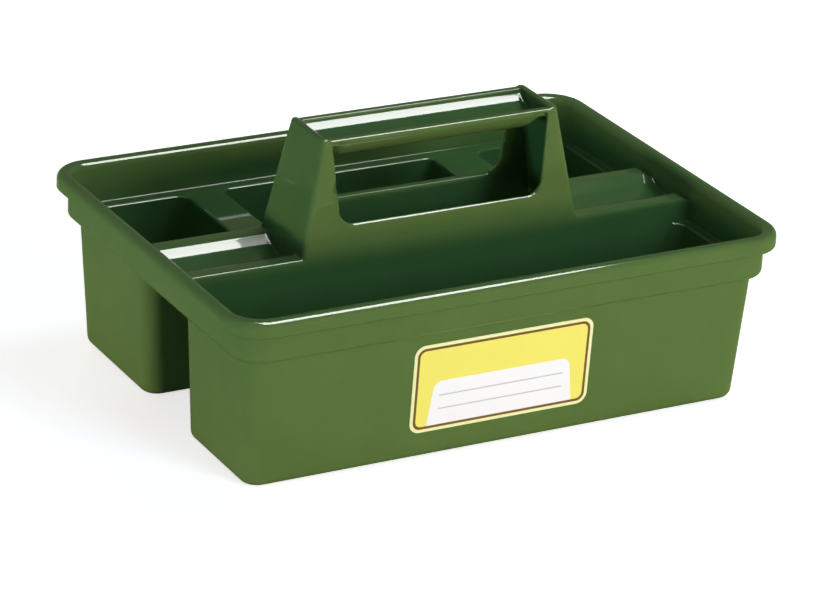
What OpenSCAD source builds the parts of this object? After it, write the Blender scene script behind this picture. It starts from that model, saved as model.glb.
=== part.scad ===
// Tool storage caddy: a one-piece moulded carrier with a deep front bin, three
// rear pockets, two small end trays and a raised carrying handle in the middle.
// Millimetres. Origin on the floor, below the middle of the rim. +X runs along
// the length, +Y towards the rear pockets, +Z up.

/* [Overall size] */
// Length over the rim
caddy_length = 375; // [350:1:420]
// Width over the rim
caddy_width = 275; // [265:1:300]
// Height of the rim above the floor
rim_height = 114; // [106:1:130]
// Height of the handle above the floor
handle_height = 173.7; // [168:0.1:190]

/* [Shell] */
// Thickness of the moulded walls
wall = 2.5; // [2:0.1:3]
// Plan radius of the rim's outer corners
rim_corner_r = 25; // [22:1:30]
// Height of the lip that hangs from the rim
lip_height = 10.6; // [8:0.2:14]
// How far the band below the rim is set in from the rim's edge
band_inset = 7.2; // [6:0.2:9]
// Height of the ledge between the band and the bins
ledge_z = 86.5; // [82:0.5:88]
// How far the bins are set in from the rim's edge just below the ledge
body_inset_top = 13.8; // [12.5:0.2:15]
// How far the bins are set in from the rim's edge at the floor
body_inset_foot = 18.4; // [16:0.2:20]
// Plan radius of the bins' inner corners
bin_corner_r = 9; // [8:0.5:12]
// Size of the rounded edge round each foot
foot_round = 4; // [3:0.5:5]

/* [Dividers and trays] */
// Height of the two dividers' flat tops
divider_z = 102; // [98:0.5:104]
// Front face of the front divider
front_divider_y = -36.5; // [-40:0.5:-34]
// Rear face of the rear divider
rear_divider_y = 21.5; // [19:0.5:25]
// Width of each divider's flat top
divider_w = 11; // [9:0.5:13]
// How far the divider tops drop where they meet the end walls
divider_dip = 2.8; // [1:0.2:4]
// Length over which the divider tops round off towards the end walls
divider_dip_l = 6.5; // [4:0.5:12]
// Steepness of the tray surface at its long edges, in degrees
tray_edge_angle = 50; // [40:1:60]

/* [Rear pockets] */
// Width of the middle rear pocket
middle_pocket_w = 151; // [140:1:156]
// Sideways place of the middle rear pocket
middle_pocket_x = 2.5; // [-4:0.5:4]
// Plan radius of the middle rear pocket's inner corners
middle_corner_r = 5.5; // [5:0.5:9]
// Width of the bridge left of the middle pocket
left_saddle_w = 25.5; // [22:0.5:32]
// Width of the bridge right of the middle pocket
right_saddle_w = 32; // [22:0.5:36]
// How much further the rear pockets stand in from the rear than the front bin from the front
rear_setback = 2.4; // [0:0.2:4]

/* [Handle] */
// Length of the handle at its foot
handle_foot_l = 190.6; // [184:0.2:196]
// Length of the handle at its top
handle_top_l = 161.6; // [150:0.2:170]
// How far the handle's front face leans in
front_lean = 7.5; // [3:0.5:9]
// How far the handle's rear face leans in
rear_lean = 7.5; // [3:0.5:9]
// Plan radius of the handle's upright corners
handle_corner_r = 3; // [2.6:0.2:6]
// Height of the hand hole's lower edge in the front plate
hole_floor_z = 119.5; // [117:0.5:124]
// How much lower the hand hole starts in the rear plate
hole_rear_drop = 3.5; // [0:0.5:5]
// Half width of the hand hole near its lower edge
hole_half_w = 70; // [66:1:72]
// Radius of the hand hole's lower corners
hole_corner_r = 10; // [8:1:14]
// How far the grip's flange lies below the tops of the two handle ends
grip_drop = 1; // [0:0.2:1.6]
// Thickness of the grip's flange below the tops of the handle ends
flange_h = 3; // [2.6:0.2:4]
// Width of the flange along the front and the rear of the grip
grip_border = 4.8; // [4:0.2:6]
// Thickness of the end walls of the trough in the grip
grip_end_wall = 4.2; // [2.6:0.1:5]
// Depth of the trough below the tops of the handle ends
grip_depth = 10.8; // [8:0.2:11.6]
// Height of the trough's upright sides below the tops of the handle ends
trough_side_h = 3.6; // [3:0.1:5]
// Height of the grip's upright side faces below the tops of the handle ends
grip_side_h = 3.4; // [3:0.1:6]
// Overall depth of the grip beam below the tops of the handle ends
grip_beam_h = 17.5; // [15:0.1:19]
// Radius with which the beam's underside rises to the flange at each end
grip_end_r = 13; // [8:0.5:15]

/* [Label] */
// Length of the adhesive label
label_l = 122; // [100:1:140]
// Height of the adhesive label
label_h = 58; // [40:1:62]
// Height of the label's centre above the floor
label_z = 46.5; // [42:0.5:48]
// Sideways place of the label's centre
label_x = -2.8; // [-30:0.1:30]

/* [Hidden] */
$fn = 48;
label_t = 0.3;
// Thickness of the thin discs that rounded solids are stretched over
slab = 0.2;
// Steps round each corner of the tapered bins
corner_steps = 9;
ledge_bottom = ledge_z - wall;
half_l = caddy_length / 2;
half_w = caddy_width / 2;
rim_plate_z = rim_height - wall;
band_inner = band_inset + wall;
body_inner = body_inset_top + wall;
// Bin limits just below the ledge, inside faces
in_x = half_l - body_inner;
in_y = half_w - body_inner;
channel_y0 = front_divider_y + wall;
channel_y1 = rear_divider_y - wall;
middle_x0 = middle_pocket_x - middle_pocket_w / 2;
middle_x1 = middle_pocket_x + middle_pocket_w / 2;
left_x1 = middle_x0 - left_saddle_w;
right_x0 = middle_x1 + right_saddle_w;
rear_in_y = in_y - rear_setback;
// How much the tapered walls lean between the ledge and the floor
lean = body_inset_foot - body_inset_top;
tray_y0 = front_divider_y + divider_w;
tray_y1 = rear_divider_y - divider_w;
tray_half_w = (tray_y1 - tray_y0) / 2;
tray_r = tray_half_w / sin(tray_edge_angle);
handle_foot_x = handle_foot_l / 2;
handle_top_x = handle_top_l / 2;
handle_rise = handle_height - divider_z;
plate_top_z = handle_height - flange_h;
hole_top_x = hole_half_w + 4;
face_tilt = atan(lean / ledge_bottom);
end_x = half_l - band_inner;
tray_floor_z = divider_z - tray_r * (1 - cos(tray_edge_angle));

// ---------- shared shapes ----------

// Rectangle with rounded corners between two x and two y limits
module round_rect(x0, x1, y0, y1, r) {
    translate([x0 + r, y0]) square([x1 - x0 - 2 * r, y1 - y0]);
    translate([x0, y0 + r]) square([x1 - x0, y1 - y0 - 2 * r]);
    for (x = [x0 + r, x1 - r], y = [y0 + r, y1 - r])
        translate([x, y]) circle(r);
}

// Outline of the caddy's rim, set in by a given amount
module rim_outline(inset) {
    round_rect(-half_l + inset, half_l - inset, -half_w + inset, half_w - inset,
               rim_corner_r - inset);
}

// Solid through a stack of rounded rectangles; a level is [z, x0, x1, y0, y1, r]
module stacked(levels) {
    hull()
        for (v = levels, x = [v[1] + v[5], v[2] - v[5]], y = [v[3] + v[5], v[4] - v[5]])
            translate([x, y, v[0]]) cylinder(r = v[5], h = slab, $fn = 32);
}

// Level of a bin whose chosen sides taper. b = [x0, x1, y0, y1] just below the
// ledge; t = 1 for each side that leans; g = growth over the inner face
function bin_level(b, t, g, z, inset, r) =
    let (d = lean * (1 - z / ledge_bottom))
    [z, b[0] - g + t[0] * d + inset, b[1] + g - t[1] * d - inset,
     b[2] - g + t[2] * d + inset, b[3] + g - t[3] * d - inset, r];

// Corner points of one level, anticlockwise
function ring(v) =
    [for (c = [[v[2] - v[5], v[4] - v[5], 0], [v[1] + v[5], v[4] - v[5], 90],
               [v[1] + v[5], v[3] + v[5], 180], [v[2] - v[5], v[3] + v[5], 270]],
          k = [0:corner_steps])
        let (a = c[2] + 90 * k / corner_steps)
        [c[0] + v[5] * cos(a), c[1] + v[5] * sin(a), v[0]]];

// Closed skin through a list of levels, capped at the first and the last
module skin(levels) {
    n = 4 * (corner_steps + 1);
    last = len(levels) - 1;
    sides = [for (i = [0:last - 1], k = [0:n - 1])
                let (k2 = (k + 1) % n)
                each [[i * n + k, (i + 1) * n + k2, i * n + k2],
                      [i * n + k, (i + 1) * n + k, (i + 1) * n + k2]]];
    first_cap = [for (k = [0:n - 1]) k];
    last_cap = [for (k = [n - 1:-1:0]) last * n + k];
    polyhedron([for (v = levels) each ring(v)], concat(sides, [first_cap, last_cap]));
}

// Open-topped bin with rounded feet, up to the underside of the ledge
module bin(b, t, r) {
    r_out = r + wall;
    skin([bin_level(b, t, wall, 0, foot_round, r_out - foot_round / 2),
          bin_level(b, t, wall, foot_round * 0.3, foot_round * 0.3, r_out - foot_round * 0.15),
          bin_level(b, t, wall, foot_round, 0, r_out),
          bin_level(b, t, wall, ledge_bottom, 0, r_out),
          bin_level(b, t, 0, ledge_bottom, 0, r),
          bin_level(b, t, 0, wall + foot_round * 0.7, 0, r),
          bin_level(b, t, 0, wall, foot_round * 0.7, r - foot_round * 0.35)]);
}

// The four bin mouths at ledge level
module bin_mouths() {
    round_rect(-in_x, in_x, -in_y, front_divider_y, bin_corner_r);
    round_rect(-in_x, left_x1, rear_divider_y, rear_in_y, bin_corner_r);
    round_rect(middle_x0, middle_x1, rear_divider_y, rear_in_y, middle_corner_r);
    round_rect(right_x0, in_x, rear_divider_y, rear_in_y, bin_corner_r);
}

// Everything flat at ledge level: the border round all bin mouths
module deck() {
    difference() {
        rim_outline(band_inset);
        bin_mouths();
        translate([-in_x, front_divider_y])
            square([2 * in_x, rear_divider_y - front_divider_y]);
    }
}

// Footprint of one bridge between two rear pockets, with its corner fillets
module saddle_area(x0, x1) {
    translate([x0 - bin_corner_r, rear_divider_y])
        square([x1 - x0 + 2 * bin_corner_r, rear_in_y - rear_divider_y]);
}

module saddle(x0, x1) {
    color("olivedrab")
        translate([0, 0, ledge_bottom])
            linear_extrude(wall)
                intersection() {
                    deck();
                    saddle_area(x0, x1);
                }
}

// Side view of a divider: flat on top, rounding off where it meets the end walls
module divider_side(z0, x_low, x_high) {
    right = [for (t = [1, 0.75, 0.5, 0.25, 0])
                [x_high - divider_dip_l * (1 - t), divider_z - divider_dip * t * t]];
    left = [for (i = [len(right) - 1:-1:0]) [-right[i][0], right[i][1]]];
    polygon(concat([[-x_low, z0], [x_low, z0], [x_low, ledge_z], [x_high, ledge_z]],
                   right, left, [[-x_high, ledge_z], [-x_low, ledge_z]]));
}

// Divider: an upright wall over a bin wall, and a flat top beside the trays
module divider(wall_y, top_y) {
    translate([0, wall_y + wall, 0])
        rotate([90, 0, 0])
            linear_extrude(wall)
                divider_side(ledge_bottom, in_x, end_x);
    difference() {
        translate([0, top_y + divider_w - wall, 0])
            rotate([90, 0, 0])
                linear_extrude(divider_w - wall)
                    difference() {
                        divider_side(ledge_z, end_x, end_x);
                        translate([0, -wall]) divider_side(ledge_z - 1, end_x + 1, end_x + 1);
                    }
        translate([-handle_foot_x, -half_w, 0])
            cube([handle_foot_l, caddy_width, rim_height]);
    }
}

// Small tray: a shallow trough along X between the dividers
module tray(x0) {
    color("yellowgreen")
        intersection() {
            translate([x0, 0, 0])
                rotate([90, 0, 90])
                    linear_extrude(end_x - handle_foot_x)
                        tray_section();
            translate([0, half_w, 0])
                rotate([90, 0, 0])
                    linear_extrude(caddy_width)
                        divider_side(ledge_z, end_x, end_x);
        }
}

// Cross-section of a tray: an arc that meets the flat tops of both dividers
module tray_section() {
    mid_y = (tray_y0 + tray_y1) / 2;
    intersection() {
        translate([tray_y0, tray_floor_z - 2 * wall])
            square([tray_y1 - tray_y0, divider_z - tray_floor_z + 2 * wall]);
        translate([mid_y, tray_floor_z + tray_r])
            difference() {
                circle(tray_r + wall, $fn = 96);
                circle(tray_r, $fn = 96);
            }
    }
}

// Outer form of the handle between the dividers' tops and its own top
function handle_level(z, g) =
    let (k = (z - divider_z) / handle_rise)
    let (x = handle_foot_x + (handle_top_x - handle_foot_x) * k)
    [z, -x + g, x - g, front_divider_y + front_lean * k + g,
     rear_divider_y - rear_lean * k - g, max(handle_corner_r - g, 0.5)];

module handle_form(g) {
    stacked([handle_level(divider_z - (g > 0 ? 1 : 0), g),
             handle_level(plate_top_z + (g > 0 ? 1 : -slab), g)]);
}

// The hand hole through one plate, with its lower edge at a given height
module hand_hole(floor_z) {
    shoulder_z = floor_z + hole_corner_r;
    translate([0, half_w, 0])
        rotate([90, 0, 0])
            linear_extrude(caddy_width) {
                polygon([[-hole_half_w, shoulder_z], [hole_half_w, shoulder_z],
                         [hole_top_x, plate_top_z + 1], [-hole_top_x, plate_top_z + 1]]);
                round_rect(-hole_half_w, hole_half_w, floor_z, floor_z + 3 * hole_corner_r,
                           hole_corner_r);
            }
}

// Hollow handle walls between two y limits, open above and below
module handle_wall(y0, y1) {
    intersection() {
        difference() {
            handle_form(0);
            handle_form(wall);
        }
        translate([-half_l, y0, 0]) cube([caddy_length, y1 - y0, handle_height]);
    }
}

module handle_end(side) {
    color("darkseagreen") {
        intersection() {
            handle_wall(handle_split_front, handle_split_rear);
            translate([side > 0 ? 0 : -half_l, -half_w, 0])
                cube([half_l, caddy_width, handle_height]);
        }
        translate([side > 0 ? handle_foot_x - wall : -handle_foot_x, channel_y0,
                   tray_floor_z - wall])
            cube([wall, channel_y1 - channel_y0, divider_z - tray_floor_z + wall]);
    }
}

handle_split_front = front_divider_y + handle_corner_r + front_lean;
handle_split_rear = rear_divider_y - handle_corner_r - rear_lean;

// ---------- sub-parts ----------

module rim() {
    color("olivedrab") {
        translate([0, 0, rim_plate_z])
            linear_extrude(wall)
                difference() {
                    rim_outline(0);
                    rim_outline(band_inner);
                }
        translate([0, 0, rim_height - lip_height])
            linear_extrude(lip_height - wall)
                difference() {
                    rim_outline(0);
                    rim_outline(wall);
                }
    }
}

module upper_band() {
    color("darkolivegreen")
        translate([0, 0, ledge_z])
            linear_extrude(rim_plate_z - ledge_z)
                difference() {
                    rim_outline(band_inset);
                    rim_outline(band_inner);
                }
}

module ledge() {
    color("darkseagreen")
        translate([0, 0, ledge_bottom])
            linear_extrude(wall)
                difference() {
                    deck();
                    saddle_area(left_x1, middle_x0);
                    saddle_area(middle_x1, right_x0);
                }
}

module left_saddle() {
    saddle(left_x1, middle_x0);
}

module right_saddle() {
    saddle(middle_x1, right_x0);
}

module front_bin() {
    color("olivedrab")
        bin([-in_x, in_x, -in_y, front_divider_y], [1, 1, 1, 0], bin_corner_r);
}

module rear_left_bin() {
    color("olivedrab")
        bin([-in_x, left_x1, rear_divider_y, rear_in_y], [1, 0, 0, 1], bin_corner_r);
}

module rear_middle_bin() {
    color("darkseagreen")
        bin([middle_x0, middle_x1, rear_divider_y, rear_in_y], [0, 0, 0, 1], middle_corner_r);
}

module rear_right_bin() {
    color("olivedrab")
        bin([right_x0, in_x, rear_divider_y, rear_in_y], [0, 1, 0, 1], bin_corner_r);
}

module front_divider() {
    color("yellowgreen")
        divider(front_divider_y, front_divider_y + wall);
}

module rear_divider() {
    color("yellowgreen")
        divider(rear_divider_y - wall, rear_divider_y - divider_w);
}

module left_tray() {
    tray(-end_x);
}

module right_tray() {
    tray(handle_foot_x);
}

module handle_front_plate() {
    color("olivedrab")
        difference() {
            handle_wall(-half_w, handle_split_front);
            hand_hole(hole_floor_z);
        }
}

module handle_rear_plate() {
    color("olivedrab")
        difference() {
            handle_wall(handle_split_rear, half_w);
            hand_hole(hole_floor_z - hole_rear_drop);
        }
}

module handle_left_end() {
    handle_end(-1);
}

module handle_right_end() {
    handle_end(1);
}

// Beam under the grip's flange: side faces flush with the plates, a round belly
// and ends whose underside rises to the flange
module grip_beam(top) {
    mid_y = (top[3] + top[4]) / 2;
    half_y = (top[4] - top[3]) / 2;
    belly_h = grip_beam_h - grip_side_h;
    belly_r = (half_y * half_y + belly_h * belly_h) / (2 * belly_h);
    belly_z = handle_height - grip_beam_h;
    intersection() {
        handle_form(0);
        translate([-half_l, mid_y, belly_z + belly_r])
            rotate([90, 0, 90])
                cylinder(r = belly_r, h = caddy_length, $fn = 128);
        translate([0, half_w, 0])
            rotate([90, 0, 0])
                linear_extrude(caddy_width)
                    round_rect(-hole_top_x, hole_top_x, belly_z, belly_z + 3 * grip_end_r,
                               grip_end_r);
    }
}

// Section along X of the trough in the grip, grown by g: a round floor between
// low upright sides, open at the top
module trough_section(top, g) {
    half_y = (top[4] - top[3]) / 2 - grip_border;
    floor_h = grip_depth - trough_side_h;
    floor_r = (half_y * half_y + floor_h * floor_h) / (2 * floor_h);
    intersection() {
        union() {
            translate([0, handle_height - grip_depth + floor_r])
                circle(floor_r + g, $fn = 128);
            translate([-half_y - g, handle_height - trough_side_h])
                square([2 * (half_y + g), 10]);
        }
        translate([-half_y - g, handle_height - grip_depth - 10])
            square([2 * (half_y + g), grip_depth + 20]);
    }
}

// The trough's section drawn out to a given half length
module trough_form(top, g, x_end) {
    translate([-x_end, (top[3] + top[4]) / 2, 0])
        rotate([90, 0, 90])
            linear_extrude(2 * x_end)
                trough_section(top, g);
}

module grip() {
    top = handle_level(handle_height, 0);
    x_end = top[2] - grip_end_wall;
    color("yellowgreen")
        difference() {
            union() {
                stacked([handle_level(plate_top_z, 0), handle_level(handle_height - slab, 0)]);
                grip_beam(top);
                intersection() {
                    handle_form(wall);
                    trough_form(top, wall, handle_foot_x);
                }
            }
            trough_form(top, 0, x_end);
            translate([-x_end, -half_w, handle_height - grip_drop])
                cube([2 * x_end, caddy_width, 10]);
        }
}

module label() {
    foot_y = -half_w + body_inset_foot;
    color("khaki")
        translate([label_x, foot_y - lean * label_z / ledge_bottom, label_z])
            rotate([90 - face_tilt * -1, 0, 0])
                linear_extrude(label_t)
                    round_rect(-label_l / 2, label_l / 2, -label_h / 2, label_h / 2, 7);
}

rim();
upper_band();
ledge();
left_saddle();
right_saddle();
front_bin();
rear_left_bin();
rear_middle_bin();
rear_right_bin();
front_divider();
rear_divider();
left_tray();
right_tray();
handle_front_plate();
handle_rear_plate();
handle_left_end();
handle_right_end();
grip();
label();
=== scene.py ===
"""Looks of the tool storage caddy: one seamless glossy green moulding with a paper label.

The moulding is described as a signed distance in millimetres, negative inside the plastic.
It is meshed once, and every vertex then moves onto the exact surface and gets its exact normal.
"""
import math

import bpy
import numpy as np
import openvdb as vdb
from mathutils import Matrix, Vector

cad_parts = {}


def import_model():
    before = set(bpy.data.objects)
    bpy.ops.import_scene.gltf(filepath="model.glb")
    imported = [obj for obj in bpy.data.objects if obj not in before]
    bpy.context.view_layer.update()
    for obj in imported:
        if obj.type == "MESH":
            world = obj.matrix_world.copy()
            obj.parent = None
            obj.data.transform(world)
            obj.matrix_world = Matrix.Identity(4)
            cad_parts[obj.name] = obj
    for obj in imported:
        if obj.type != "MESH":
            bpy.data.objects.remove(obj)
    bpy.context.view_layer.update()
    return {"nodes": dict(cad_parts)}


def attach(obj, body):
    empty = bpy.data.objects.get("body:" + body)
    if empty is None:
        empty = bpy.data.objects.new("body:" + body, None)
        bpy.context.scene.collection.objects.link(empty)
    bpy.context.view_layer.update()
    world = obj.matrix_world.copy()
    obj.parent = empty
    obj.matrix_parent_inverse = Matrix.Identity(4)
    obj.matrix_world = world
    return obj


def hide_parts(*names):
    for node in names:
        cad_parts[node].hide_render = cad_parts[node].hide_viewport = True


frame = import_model()

MM = 0.001

# ---------- sizes in millimetres ----------
# Rim, band and ledge
HALF_L, HALF_W = 187.5, 137.5   # half the outer size of the rim
RIM_Z, RIM_R = 114.0, 25.0      # top of the rim and its corner radius in plan
WALL = 2.5
LIP_H = 10.6                    # height of the rim's lip
BAND = 7.2                      # band set in from the rim's edge
LEDGE_Z = 86.5                  # top of the ledge around the bins
INNER_L = HALF_L - BAND - WALL  # inner face of the band at the ends

# Bins
LEAN = 4.6                      # draft of the bins between ledge and floor
BIN_R = 9.0
BODY_X, BODY_Y = 171.2, 121.2   # inner faces of the bins at the ledge
REAR_BODY_Y = BODY_Y - 2.4      # rear pockets stand in a little further
# Rear pockets: x limits, which of the two sides follow the draft, corner radius
POCKETS = ((-BODY_X, -98.5, (1, 0), BIN_R), (-73.0, 78.0, (0, 0), 5.5), (110.0, BODY_X, (0, 1), BIN_R))

# Dividers, and the dished trays between them
FRONT_Y, REAR_Y = -36.5, 21.5   # outer faces of the two dividers
MID_Y = (FRONT_Y + REAR_Y) / 2
HALF_RIDGE = (REAR_Y - FRONT_Y) / 2
DIVIDER_W, DIVIDER_Z = 11.0, 102.0
DIP, DIP_L = 2.8, 6.5           # divider tops round off at the end walls
TRAY_ARC = math.radians(50)     # half the arc of a tray's section
TRAY_R = (HALF_RIDGE - DIVIDER_W) / math.sin(TRAY_ARC)
TRAY_Z = DIVIDER_Z - TRAY_R * (1 - math.cos(TRAY_ARC))
SINK = 0.5                      # dividers and handle reach this far into the ledge

# Handle
FOOT_X, TOP_X, TOP_Z = 95.3, 80.8, 173.7
TOWER_R = 3.0
TOWER_COS = 0.98                # a leaning face is this much nearer than its level distance
SHAFT_DEPTH = 3.0               # the handle is hollow to this far below the ledge's underside
LEAN_FRONT, LEAN_REAR = 7.5, 7.5
HOLE_Z, HOLE_DROP = 119.5, 3.5  # the hole starts lower in the rear plate
HOLE_X, HOLE_R, HOLE_FLARE = 70.0, 10.0, 4.0
HOLE_STEP_W = 10.0              # width over which the hole's foot drops

# Grip: flange, beam with a round belly, and a trough along the top
FLANGE_H, FLANGE_DROP = 3.0, 1.0  # the flange lies lower than the handle's end walls
DROP_START, DROP_L = 1.5, 3.0   # the drop starts this far before the end walls and takes DROP_L
SIDE_H, BEAM_H = 3.4, 17.5      # upright sides of the beam, and its whole height
BEAM_X, BEAM_END_R = 77.0, 15.0
TROUGH_D, TROUGH_SIDE, BORDER, END_WALL = 10.8, 3.6, 4.8, 4.2
GRIP_Y0, GRIP_Y1 = FRONT_Y + LEAN_FRONT, REAR_Y - LEAN_REAR
GRIP_MID, GRIP_HALF = (GRIP_Y0 + GRIP_Y1) / 2, (GRIP_Y1 - GRIP_Y0) / 2

# Roundings and fillets
RIM_OUTER_ROUND, RIM_INNER_ROUND = 4.4, 4.6
LIP_FOOT_ROUND, GUTTER_ROUND, BAND_FOOT_ROUND = 1.1, 1.2, 4.0
BIN_FOOT_ROUND, BIN_FLOOR_FILLET, BIN_ROOT_FILLET = 5.5, 4.0, 1.6
WELL_FILLET, MOUTH_ROUND = 0.6, 1.2
RIDGE_ROUND, TRAY_EDGE_ROUND, RIDGE_FOOT_ROUND = 1.1, 1.2, 0.1
SHAFT_TOP_ROUND, SHAFT_FILLET = 1.3, 0.8
HOLLOW_ROUND, GRIP_UNDER_FILLET = 1.0, 1.6
TROUGH_END_ROUND, TROUGH_EDGE_ROUND = 1.2, 0.9
INSIDE_FILLET, EDGE_ROUND = 0.4, 0.7
NEAR_L, NEAR_MIN = 6.0, 0.08    # fillets shrink beside the dividers' outer faces

# Mesh of the moulding
STEP = 1.25
ADAPTIVITY = 0.02               # merges faces where the surface is flat
SLAB = 24                       # layers of the grid that are worked out at a time
BAND_STEPS = 3                  # the grid keeps distances this many steps from the surface
NEWTON_STEPS = 3
MIN_SLOPE = 0.5                 # least slope that a vertex's move is divided by
MAX_MOVE = 0.5                  # longest move of a vertex, as a share of the step
SAMPLE_FACES = 400              # faces that tell which way the mesh is turned


# ---------- distance helpers ----------
def both(a, b, r):
    """Intersection with its edge rounded to radius r."""
    return np.minimum(np.maximum(a, b), -r) + np.hypot(np.maximum(a + r, 0), np.maximum(b + r, 0))


def either(a, b, r):
    """Union with its inner corner filled to radius r."""
    return -both(-a, -b, r)


def rounded_rect(x, y, x0, x1, y0, y1, r):
    dx = np.abs(x - (x0 + x1) / 2) - (x1 - x0) / 2 + r
    dy = np.abs(y - (y0 + y1) / 2) - (y1 - y0) / 2 + r
    return np.hypot(np.maximum(dx, 0), np.maximum(dy, 0)) + np.minimum(np.maximum(dx, dy), 0) - r


def arc_radius(half, depth):
    """Radius of the arc that spans two half widths and is this deep."""
    return (half ** 2 + depth ** 2) / (2 * depth)


# ---------- forms of the moulding ----------
# Shares along a slope may run a little past 1, so that the slope goes on beyond its end
def bin_form(x, y, z, box, leans, grow, floor_z, r, edge):
    """Upright bin without a top; leans says which of its four sides follow the draft."""
    d = LEAN * (1 - z / (LEDGE_Z - WALL))
    inward = (1, -1, 1, -1)
    x0, x1, y0, y1 = (v + s * (lean * d - grow) for v, s, lean in zip(box, inward, leans))
    return both(rounded_rect(x, y, x0, x1, y0, y1, r), floor_z - z, edge)


def bins(x, y, z, grow, floor_z, edge):
    """The front bin and the three rear pockets together."""
    box = (-BODY_X, BODY_X, -BODY_Y, FRONT_Y)
    out = bin_form(x, y, z, box, (1, 1, 1, 0), grow, floor_z, BIN_R + grow, edge)
    for x0, x1, (left, right), r in POCKETS:
        box = (x0, x1, REAR_Y, REAR_BODY_Y)
        pocket = bin_form(x, y, z, box, (left, right, 0, 1), grow, floor_z, r + grow, edge)
        out = np.minimum(out, pocket)
    return out


def tower(x, y, z):
    """Outer faces of the handle, leaning in towards the top."""
    k = np.clip((z - DIVIDER_Z) / (TOP_Z - DIVIDER_Z), 0, 1.05)
    hx = FOOT_X + (TOP_X - FOOT_X) * k
    y0, y1 = FRONT_Y + LEAN_FRONT * k, REAR_Y - LEAN_REAR * k
    return rounded_rect(x, y, -hx, hx, y0, y1, TOWER_R) * TOWER_COS


def divider_top(x):
    """Height of the dividers' tops, which round off towards the end walls."""
    t = np.clip((np.abs(x) - (INNER_L - DIP_L)) / DIP_L, 0, 1.3)
    return DIVIDER_Z - DIP * t * t


def trough_section(y, z):
    """Trough along the top of the grip: a round floor between low upright sides."""
    half = GRIP_HALF - BORDER
    r = arc_radius(half, TROUGH_D - TROUGH_SIDE)
    arc = np.hypot(y - GRIP_MID, z - (TOP_Z - TROUGH_D) - r) - r
    return np.maximum(np.abs(y - GRIP_MID) - half, np.minimum(arc, TOP_Z - TROUGH_SIDE - z))


def grip_solid(x, y, z):
    """What stays solid of the handle above the hand hole."""
    r = arc_radius(GRIP_HALF, BEAM_H - SIDE_H)
    beam = np.hypot(y - GRIP_MID, z - (TOP_Z - BEAM_H) - r) - r
    beam = both(beam, np.abs(x) - BEAM_X, BEAM_END_R)
    beam = np.minimum(beam, trough_section(y, z) - WALL)
    return np.minimum(beam, TOP_Z - FLANGE_H - z)


def hand_hole(x, y, z):
    """Hole through both plates of the handle, a little wider at its top."""
    rise = TOP_Z - FLANGE_H - HOLE_Z - HOLE_R
    hx = HOLE_X + HOLE_FLARE * np.clip((z - HOLE_Z - HOLE_R) / rise, 0, 1.2)
    floor_z = HOLE_Z - HOLE_DROP * np.clip((y - MID_Y) / HOLE_STEP_W + 0.5, 0, 1)
    return both(np.abs(x) - hx, floor_z - z, HOLE_R)


def hollow_below(x, y, z, dish):
    """Space under the dividers, the trays and the handle, open downwards."""
    low = both(np.abs(y - MID_Y) - HALF_RIDGE + WALL, z - divider_top(x) + WALL, HOLLOW_ROUND)
    low = np.maximum(both(low, dish + WALL, HOLLOW_ROUND), np.abs(x) - INNER_L)
    shaft = np.maximum(tower(x, y, z) + WALL, LEDGE_Z - WALL - SHAFT_DEPTH - z)
    space = np.minimum(np.minimum(low, shaft), hand_hole(x, y, z))
    return both(space, -grip_solid(x, y, z), GRIP_UNDER_FILLET)


def ridge_above(x, y, z, dish, near):
    """Dividers, trays and handle as they stand in the open top."""
    ridge = both(np.abs(y - MID_Y) - HALF_RIDGE, z - divider_top(x), RIDGE_ROUND)
    ridge = both(both(ridge, dish, TRAY_EDGE_ROUND), LEDGE_Z - SINK - z, RIDGE_FOOT_ROUND)
    end = np.clip((np.abs(x) - (TOP_X - END_WALL - DROP_START)) / DROP_L, 0, 1)
    top = TOP_Z - FLANGE_DROP * (1 - end * end * (3 - 2 * end))
    shaft = np.maximum(both(tower(x, y, z), z - top, SHAFT_TOP_ROUND), LEDGE_Z - SINK - z)
    return either(ridge, shaft, SHAFT_FILLET * near)


def outer_form(x, y, z, rim, dish):
    """The moulding as it is seen from outside and below, with its top filled in."""
    collar = both(both(rim, z - RIM_Z, RIM_OUTER_ROUND), RIM_Z - LIP_H - z, LIP_FOOT_ROUND)
    gutter = both(np.maximum(-(rim + BAND), rim + WALL), z - (RIM_Z - WALL), GUTTER_ROUND)
    band = both(rim + BAND, LEDGE_Z - WALL - z, BAND_FOOT_ROUND)
    form = np.minimum(np.maximum(collar, -gutter), band)
    form = either(form, bins(x, y, z, WALL, 0.0, BIN_FOOT_ROUND), BIN_ROOT_FILLET)
    return np.maximum(form, -hollow_below(x, y, z, dish))


def open_air(x, y, z, rim, dish):
    """Air above the moulding: the well inside the band, the bins and the grip's trough."""
    near = np.clip(np.minimum(np.abs(y - FRONT_Y), np.abs(y - REAR_Y)) / NEAR_L, NEAR_MIN, 1)
    well = both(rim + BAND + WALL, LEDGE_Z - z, WELL_FILLET)
    air = either(well, bins(x, y, z, 0.0, WALL, BIN_FLOOR_FILLET), MOUTH_ROUND * near)
    air = either(air, RIM_Z - z, RIM_INNER_ROUND)
    air = both(air, -ridge_above(x, y, z, dish, near), INSIDE_FILLET)
    trough = both(trough_section(y, z), np.abs(x) - (TOP_X - END_WALL), TROUGH_END_ROUND)
    return either(air, trough, TROUGH_EDGE_ROUND)


def moulding(x, y, z):
    """Signed distance of the whole moulding."""
    rim = rounded_rect(x, y, -HALF_L, HALF_L, -HALF_W, HALF_W, RIM_R)
    dish = TRAY_R - np.hypot(y - MID_Y, z - TRAY_Z - TRAY_R)
    return both(outer_form(x, y, z, rim, dish), -open_air(x, y, z, rim, dish), EDGE_ROUND)


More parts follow.
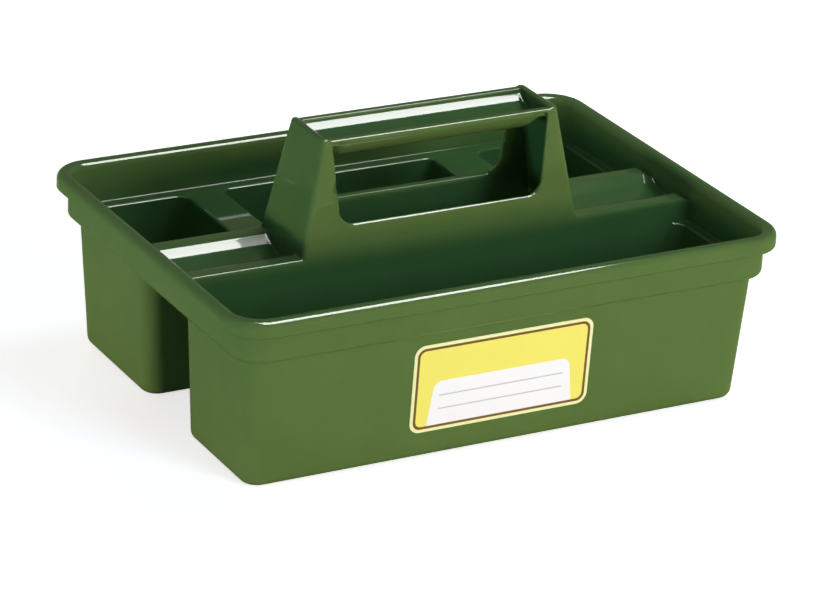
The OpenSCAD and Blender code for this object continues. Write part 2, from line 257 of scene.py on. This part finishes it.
# ---------- mesh of the moulding ----------
def gradient(p, e=0.02):
    """Slope of the signed distance at the points p."""
    g = np.empty_like(p)
    for axis in range(3):
        above, below = p.copy(), p.copy()
        above[:, axis] += e
        below[:, axis] -= e
        g[:, axis] = (moulding(*above.T) - moulding(*below.T)) / (2 * e)
    return g


def polygons(step):
    """Vertices, triangles and quads of the moulding on a grid of this step."""
    reach = BAND_STEPS * step
    lo = np.array([-HALF_L - reach, -HALF_W - reach, -reach])
    count = np.ceil((np.array([HALF_L, HALF_W, TOP_Z]) + reach - lo) / step).astype(int) + 1
    gx, gy, gz = (lo[i] + step * np.arange(count[i]) for i in range(3))
    field = np.empty(count, np.float32)
    for i in range(0, count[0], SLAB):
        field[i:i + SLAB] = moulding(gx[i:i + SLAB, None, None], gy[None, :, None], gz[None, None, :])
    grid = vdb.FloatGrid(reach)
    grid.copyFromArray(np.clip(field, -reach, reach))
    points, tris, quads = grid.convertToPolygons(isovalue=0.0, adaptivity=ADAPTIVITY)
    return points.astype(float) * step + lo, tris, quads


def surface_mesh(name, step):
    """Closed mesh of the moulding with exact vertex places and normals."""
    v, tris, quads = polygons(step)
    for _ in range(NEWTON_STEPS):
        g = gradient(v)
        d = moulding(*v.T) / np.maximum((g * g).sum(1), MIN_SLOPE ** 2)
        v -= np.clip(d, -MAX_MOVE * step, MAX_MOVE * step)[:, None] * g
    normals = gradient(v)
    normals /= np.maximum(np.linalg.norm(normals, axis=1), 1e-6)[:, None]
    faces = [tuple(int(i) for i in f) for f in quads] + [tuple(int(i) for i in f) for f in tris]
    mesh = bpy.data.meshes.new(name)
    mesh.from_pydata((v * MM).tolist(), [], faces)
    # Turn the mesh where most sampled faces point into the plastic
    sample = mesh.polygons[:SAMPLE_FACES]
    agree = sum(Vector(normals[p.vertices[0]]).dot(p.normal) > 0 for p in sample)
    if agree < len(sample) / 2:
        mesh.flip_normals()
    mesh.shade_smooth()
    mesh.normals_split_custom_set_from_vertices(normals.tolist())
    return add_object(name, mesh)


def add_object(name, data):
    ob = bpy.data.objects.new(name, data)
    bpy.context.scene.collection.objects.link(ob)
    return ob


# ---------- materials ----------
def new_material(name):
    """A node material, its tree and its main shader."""
    m = bpy.data.materials.new(name)
    m.use_nodes = True
    return m, m.node_tree, m.node_tree.nodes["Principled BSDF"]


def noise_texture(nt, vector, scale, detail):
    noise = nt.nodes.new("ShaderNodeTexNoise")
    noise.inputs["Scale"].default_value = scale
    noise.inputs["Detail"].default_value = detail
    nt.links.new(vector, noise.inputs["Vector"])
    return noise.outputs["Fac"]


def plastic():
    """Glossy green plastic whose tone drifts a little over the surface."""
    m, nt, p = new_material("caddy_green_plastic")
    co = nt.nodes.new("ShaderNodeTexCoord")
    ramp = nt.nodes.new("ShaderNodeValToRGB")
    dark, light = ramp.color_ramp.elements
    dark.position, light.position = 0.3, 0.7
    dark.color = (0.090, 0.148, 0.040, 1)
    light.color = (0.098, 0.158, 0.044, 1)
    nt.links.new(noise_texture(nt, co.outputs["Object"], 35, 3), ramp.inputs["Fac"])
    nt.links.new(ramp.outputs["Color"], p.inputs["Base Color"])
    p.inputs["Roughness"].default_value = 0.06
    p.inputs["IOR"].default_value = 1.47
    return m


# ---------- label ----------
LABEL_L, LABEL_H, LABEL_R, LABEL_T = 122.0, 58.0, 7.0, 0.3
LABEL_X, LABEL_Z = -2.8, 46.5
LABEL_EDGE = 0.08                      # bevel of the paper's edge
CORNER_STEPS = 12
LINE_OUT, LINE_OUT_R = 2.1, 5.3        # printed line: outer edge, in from the paper's edge
LINE_IN, LINE_IN_R = 3.8, 4.0          # and its inner edge
PANEL_HALF, PANEL_R = 46.0, 5.0        # white writing panel
PANEL_TOP, PANEL_FLARE = 3.8, 0.0028   # its top, and how it widens towards its foot
PANEL_BELOW = 8.0                      # it runs on past the paper's foot and is cut by the line
RULES = (-5.8, -14.7)                  # heights of the two writing rules
RULE_HALF, RULE_T, RULE_R, RULE_SOFT = 42.5, 0.35, 0.3, 0.25

# Printed colours, as 8-bit values
CREAM, BROWN, YELLOW = (246, 240, 178), (118, 84, 44), (246, 231, 108)
WHITE, GREY = (250, 244, 248), (186, 188, 184)


class Nodes:
    """Short helper for building a shader from maths on the label's own coordinates in mm."""

    def __init__(self, tree):
        self.tree = tree
        co = tree.nodes.new("ShaderNodeTexCoord")
        sep = tree.nodes.new("ShaderNodeSeparateXYZ")
        tree.links.new(co.outputs["Object"], sep.inputs[0])
        self.object = co.outputs["Object"]
        self.x = self.math("MULTIPLY", sep.outputs[0], 1 / MM)
        self.y = self.math("MULTIPLY", sep.outputs[1], 1 / MM)

    def math(self, kind, *values):
        n = self.tree.nodes.new("ShaderNodeMath")
        n.operation = kind
        for socket, v in zip(n.inputs, values):
            if isinstance(v, (int, float)):
                socket.default_value = v
            else:
                self.tree.links.new(v, socket)
        return n.outputs[0]

    def rect(self, x, x1, y0, y1, r, soft=0.12):
        """1 inside a rounded rectangle from -x1 to x1 and y0 to y1, 0 outside."""
        m = self.math
        dx = m("ADD", m("ABSOLUTE", x), r - x1)
        dy = m("ADD", m("ABSOLUTE", m("SUBTRACT", self.y, (y0 + y1) / 2)), r - (y1 - y0) / 2)
        dx, dy = m("MAXIMUM", dx, 0.0), m("MAXIMUM", dy, 0.0)
        far = m("SQRT", m("ADD", m("MULTIPLY", dx, dx), m("MULTIPLY", dy, dy)))
        edge = self.tree.nodes.new("ShaderNodeMapRange")
        edge.inputs["From Min"].default_value = r + soft
        edge.inputs["From Max"].default_value = r - soft
        self.tree.links.new(far, edge.inputs["Value"])
        return edge.outputs["Result"]

    def inset(self, d, r):
        """1 further than d inside the paper's edge."""
        hx, hy = LABEL_L / 2 - d, LABEL_H / 2 - d
        return self.rect(self.x, hx, -hy, hy, r)

    def blend(self, fac, below, above):
        n = self.tree.nodes.new("ShaderNodeMix")
        n.data_type = "RGBA"
        self.tree.links.new(fac, n.inputs["Factor"])
        for key, v in (("A", below), ("B", above)):
            if isinstance(v, tuple):
                n.inputs[key].default_value = (*linear(v), 1)
            else:
                self.tree.links.new(v, n.inputs[key])
        return n.outputs["Result"]


def linear(colour):
    """8-bit values as the linear light that a shader takes."""
    parts = (c / 255 for c in colour)
    return tuple(c / 12.92 if c < 0.0405 else ((c + 0.055) / 1.055) ** 2.4 for c in parts)


def label_paper():
    """Printed paper: cream edge, brown line, yellow field and white panel with two rules."""
    m, nt, p = new_material("caddy_label_paper")
    n = Nodes(nt)
    inside = n.inset(LINE_IN, LINE_IN_R)
    col = n.blend(n.inset(LINE_OUT, LINE_OUT_R), CREAM, BROWN)
    col = n.blend(inside, col, YELLOW)
    flare = n.math("MULTIPLY_ADD", n.math("SUBTRACT", PANEL_TOP, n.y), PANEL_FLARE, 1.0)
    narrowed = n.math("DIVIDE", n.x, flare)
    panel = n.rect(narrowed, PANEL_HALF, -LABEL_H / 2 - PANEL_BELOW, PANEL_TOP, PANEL_R)
    col = n.blend(n.math("MINIMUM", panel, inside), col, WHITE)
    for y in RULES:
        rule = n.rect(n.x, RULE_HALF, y - RULE_T, y + RULE_T, RULE_R, RULE_SOFT)
        col = n.blend(rule, col, GREY)
    bump = nt.nodes.new("ShaderNodeBump")
    bump.inputs["Strength"].default_value = 0.05
    bump.inputs["Distance"].default_value = 0.0001
    nt.links.new(noise_texture(nt, n.object, 900, 2), bump.inputs["Height"])
    nt.links.new(bump.outputs["Normal"], p.inputs["Normal"])
    nt.links.new(col, p.inputs["Base Color"])
    p.inputs["Roughness"].default_value = 0.35
    return m


def label_outline():
    """Corners of the paper's rounded outline, all the way round."""
    ring = []
    for sx, sy, start in ((1, 1, 0), (-1, 1, 90), (-1, -1, 180), (1, -1, 270)):
        for k in range(CORNER_STEPS + 1):
            a = math.radians(start + 90 * k / CORNER_STEPS)
            ring.append((sx * (LABEL_L / 2 - LABEL_R) + LABEL_R * math.cos(a),
                         sy * (LABEL_H / 2 - LABEL_R) + LABEL_R * math.sin(a)))
    return ring


def label_piece():
    """Rounded plate lying on the sloping front face."""
    ring = label_outline()
    n = len(ring)
    levels = ((0.0, 0.0), (LABEL_T - LABEL_EDGE, 0.0), (LABEL_T, LABEL_EDGE))
    verts = [(x * (1 - 2 * i / LABEL_L) * MM, y * (1 - 2 * i / LABEL_H) * MM, z * MM)
             for z, i in levels for x, y in ring]
    faces = [tuple(reversed(range(n))), tuple(range(2 * n, 3 * n))]
    faces += [(a * n + k, a * n + (k + 1) % n, (a + 1) * n + (k + 1) % n, (a + 1) * n + k)
              for a in range(2) for k in range(n)]
    mesh = bpy.data.meshes.new("front_label")
    mesh.from_pydata(verts, [], faces)
    ob = add_object("front_label", mesh)
    tilt = math.atan(LEAN / (LEDGE_Z - WALL))
    foot_y = -BODY_Y - WALL + LEAN
    place = Vector((LABEL_X, foot_y - math.tan(tilt) * LABEL_Z, LABEL_Z)) * MM
    ob.matrix_world = Matrix.Translation(place) @ Matrix.Rotation(math.pi / 2 + tilt, 4, "X")
    return ob


# ---------- floor ----------
FLOOR_SIZE = 8
FLOOR_PALE = (0.93, 0.85, 0.78, 1)     # evens out the cool light that falls on it
FLOOR_MIRRORED = (0.62, 0.55, 0.16, 1)  # as the glossy plastic reflects it
FLOOR_LIFT_TINT = (1, 0.95, 0.945, 1)
FLOOR_LIFT = 0.73                      # brings the floor near white for the camera alone


def white_floor():
    """Plain floor that is white to the camera and keeps the caddy's shadow."""
    bpy.ops.mesh.primitive_plane_add(size=FLOOR_SIZE, location=(0, 0, 0))
    ob = bpy.context.object
    ob.name = "floor"
    m, nt, p = new_material("floor_white")
    p.inputs["Roughness"].default_value = 0.9
    p.inputs["Specular IOR Level"].default_value = 0.1
    path = nt.nodes.new("ShaderNodeLightPath")
    tone = nt.nodes.new("ShaderNodeMix")
    tone.data_type = "RGBA"
    tone.inputs["A"].default_value = FLOOR_PALE
    tone.inputs["B"].default_value = FLOOR_MIRRORED
    nt.links.new(path.outputs["Is Glossy Ray"], tone.inputs["Factor"])
    nt.links.new(tone.outputs["Result"], p.inputs["Base Color"])
    lift = nt.nodes.new("ShaderNodeMath")
    lift.operation = "MULTIPLY"
    lift.inputs[1].default_value = FLOOR_LIFT
    nt.links.new(path.outputs["Is Camera Ray"], lift.inputs[0])
    nt.links.new(lift.outputs[0], p.inputs["Emission Strength"])
    p.inputs["Emission Color"].default_value = FLOOR_LIFT_TINT
    ob.data.materials.append(m)
    return ob


# ---------- camera ----------
CAM_AZ, CAM_EL, CAM_ROLL = (math.radians(a) for a in (29.561, 23.202, 2.967))
CAM_AIM, CAM_FAR = (3.303, 0, 46.172), 2463.037
FOCAL_PX, IMAGE_W_PX, SENSOR_MM = 3963.801, 828, 36
CLIP_END_M = 50


def look():
    """Long lens from the front left, a little above the caddy and slightly rolled."""
    level = math.cos(CAM_EL)
    back = Vector((-math.sin(CAM_AZ) * level, -math.cos(CAM_AZ) * level, math.sin(CAM_EL)))
    right = (-back).cross(Vector((0, 0, 1))).normalized()
    up = back.cross(right)
    rolled_right = math.cos(CAM_ROLL) * right + math.sin(CAM_ROLL) * up
    rolled_up = -math.sin(CAM_ROLL) * right + math.cos(CAM_ROLL) * up
    m = Matrix((rolled_right, rolled_up, back)).transposed().to_4x4()
    m.translation = (Vector(CAM_AIM) + back * CAM_FAR) * MM
    cam = add_object("camera", bpy.data.cameras.new("camera"))
    cam.data.sensor_width = SENSOR_MM
    cam.data.lens = SENSOR_MM * FOCAL_PX / IMAGE_W_PX
    cam.data.clip_end = CLIP_END_M
    cam.matrix_world = m
    bpy.context.scene.camera = cam


# ---------- light, in metres and watts ----------
WARM, COOL = (1.02, 0.78, 0.57), (0.42, 0.76, 1.0)
WHITE_TO_CAMERA = (1, 1, 1)


def lamp(name, kind, place, aim, power, tint):
    """Lamp that points at aim and isn't mirrored in the plastic."""
    data = bpy.data.lights.new(name, kind)
    data.energy = power
    data.color = tint
    ob = bpy.data.objects.new(name, data)
    ob.location = place
    ob.rotation_euler = (Vector(aim) - Vector(place)).to_track_quat("-Z", "Y").to_euler()
    ob.visible_glossy = False
    bpy.context.scene.collection.objects.link(ob)
    return ob


def area(name, place, aim, wide, high, power, tint):
    """Soft box, wide along its own x and high along its own y."""
    ob = lamp(name, "AREA", place, aim, power, tint)
    ob.data.shape = "RECTANGLE"
    ob.data.size = wide
    ob.data.size_y = high
    return ob


def low_spot():
    """Spot whose cone ends just above the rim, so that it lights the end faces and little of the handle."""
    ob = lamp("side_low", "SPOT", (-2.2, 0.0, 0.10), (-0.19, 0, -0.90), 125, (1.0, 0.60, 0.49))
    ob.data.spot_size = 2 * math.radians(27.0)
    ob.data.spot_blend = 0.04
    ob.data.shadow_soft_size = 0.12


def lamps():
    area("front_key", (1.0, -2.5, 0.32), (0, 0, 0.07), 3.0, 0.55, 58, WARM)
    area("cool_fill", (0.6, -2.1, 1.2), (0, 0, 0.08), 0.9, 0.9, 23, COOL)
    area("side_fill", (-2.2, 0.2, 0.16), (0, 0, 0.03), 1.8, 0.3, 21, (0.30, 0.80, 1.0))
    low_spot()
    area("rear_fill", (0.4, 2.5, 0.30), (0, 0, 0.06), 2.0, 0.5, 42, (1.0, 0.90, 0.76))
    area("top_right", (1.0, 0.2, 1.6), (0, 0, 0), 0.7, 0.7, 8, (0.65, 1.0, 1.15))
    # The bright strips on the trays, the grip and the rim mirror this card, which lights nothing
    card = area("highlight_card", (0.33, -0.50, 1.5), (0.33, -0.50, 0), 1.05, 1.05, 70, (1, 1, 1))
    card.visible_glossy = True
    card.visible_diffuse = False


def world():
    """Dim cool light, a dim olive in reflections and white to the camera."""
    w = bpy.data.worlds.new("studio")
    bpy.context.scene.world = w
    w.use_nodes = True
    nt = w.node_tree
    path = nt.nodes.new("ShaderNodeLightPath")
    colour = (0.035, 0.105, 0.160, 1)
    for ray, seen in (("Is Glossy Ray", (0.20, 0.20, 0.10)), ("Is Camera Ray", WHITE_TO_CAMERA)):
        mix = nt.nodes.new("ShaderNodeMix")
        mix.data_type = "RGBA"
        nt.links.new(path.outputs[ray], mix.inputs["Factor"])
        if isinstance(colour, tuple):
            mix.inputs["A"].default_value = colour
        else:
            nt.links.new(colour, mix.inputs["A"])
        mix.inputs["B"].default_value = (*seen, 1)
        colour = mix.outputs["Result"]
    nt.links.new(colour, nt.nodes["Background"].inputs["Color"])
    nt.nodes["Background"].inputs["Strength"].default_value = 1


# ---------- the scene ----------
body = surface_mesh("caddy_shell", STEP)
body.data.materials.append(plastic())
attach(body, "root")
GREEN_NODES = [n for n in frame["nodes"] if n != "label"]
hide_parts(*GREEN_NODES)

label = label_piece()
label.data.materials.append(label_paper())
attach(label, "root")
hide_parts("label")

floor = white_floor()

look()
lamps()
world()
bpy.context.scene.view_settings.view_transform = "Standard"
